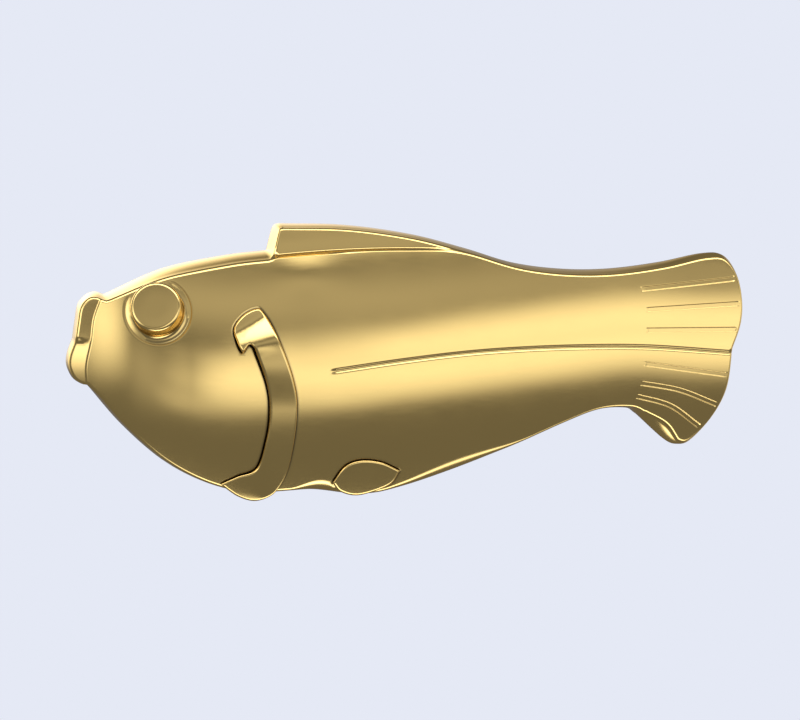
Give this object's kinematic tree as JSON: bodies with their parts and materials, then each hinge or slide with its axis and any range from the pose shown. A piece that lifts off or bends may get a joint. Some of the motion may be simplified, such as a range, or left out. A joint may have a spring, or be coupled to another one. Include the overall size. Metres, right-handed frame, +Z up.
{
  "type": "souvenir bottle opener",
  "caption": "Fish-shaped souvenir bottle opener: hollow polished brass front with raised eye, gill and fins, and a back plate with a cap window and steel lifter.",
  "frame": {"origin": "on the outer face of the back plate, at the middle of the fish, where the magnets hold it to a steel surface", "axes": "+X from the fish's mouth to its tail, +Y out of the back plate, away from the crowned front face, +Z up to the back fin"},
  "size_m": [0.1278, 0.0157, 0.0502],
  "materials": {
    "polished_brass": "polished, lacquered",
    "rolled_brass": "brushed, lacquered",
    "plated_steel": "bright zinc plated",
    "magnet_nickel": "nickel plated"
  },
  "bodies": {
    "root": {"front_shell": "polished_brass", "back_plate": "rolled_brass", "cap_lifter": "plated_steel", "eye_stud": "polished_brass", "eye_push_nut": "plated_steel", "gill_cover": "polished_brass", "gill_push_nut_1": "plated_steel", "gill_push_nut_2": "plated_steel", "ventral_fin": "polished_brass", "cover_screw_1": "plated_steel", "cover_screw_2": "plated_steel", "cover_screw_3": "plated_steel", "cover_screw_4": "plated_steel", "cover_screw_5": "plated_steel", "lifter_screw_1": "plated_steel", "lifter_screw_2": "plated_steel", "magnet_1": "magnet_nickel", "magnet_2": "magnet_nickel"}
  },
  "joints": []
}
